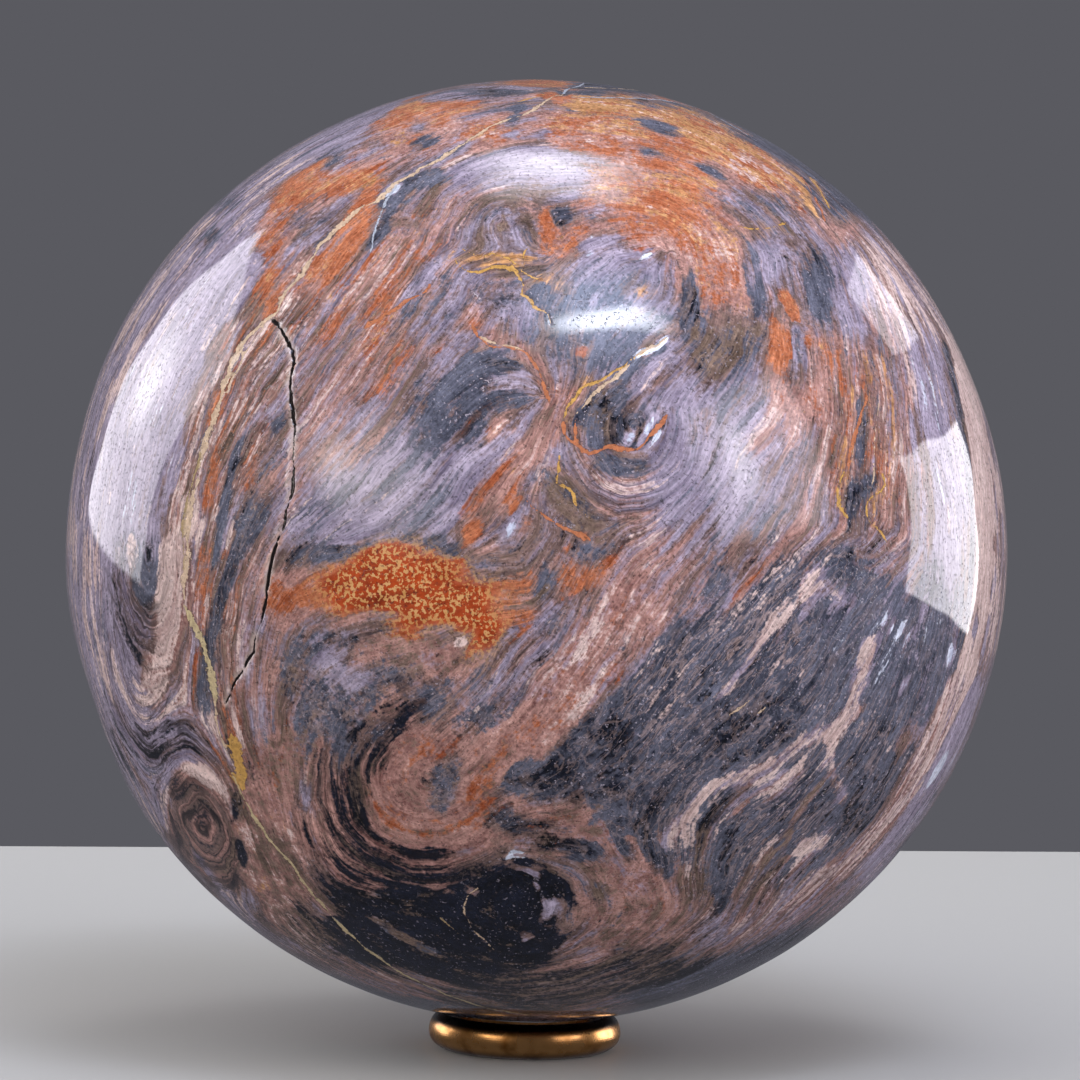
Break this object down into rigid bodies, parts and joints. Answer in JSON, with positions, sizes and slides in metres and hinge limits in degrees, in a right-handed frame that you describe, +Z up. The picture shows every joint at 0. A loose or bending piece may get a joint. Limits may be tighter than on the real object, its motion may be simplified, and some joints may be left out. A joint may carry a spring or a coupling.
{
  "type": "decorative sphere",
  "caption": "Polished stone display ball with rust, slate and cream veining, resting on a small round brass ring stand.",
  "frame": {"origin": "centre of the ring stand's foot, on the surface that it stands on", "axes": "+Z up through the ring and the ball; -Y towards the side that the picture shows, +X to its right"},
  "size_m": [0.1497, 0.1497, 0.1547],
  "materials": {
    "sphere": "polished fibrous brecciated quartz rock, dusty pink and brown with rust, gold, slate and navy, with cream and gold veins",
    "ring": "turned brass with a warm, slightly worn satin polish"
  },
  "bodies": {
    "root": {"sphere": "sphere", "ring": "ring"}
  },
  "joints": []
}
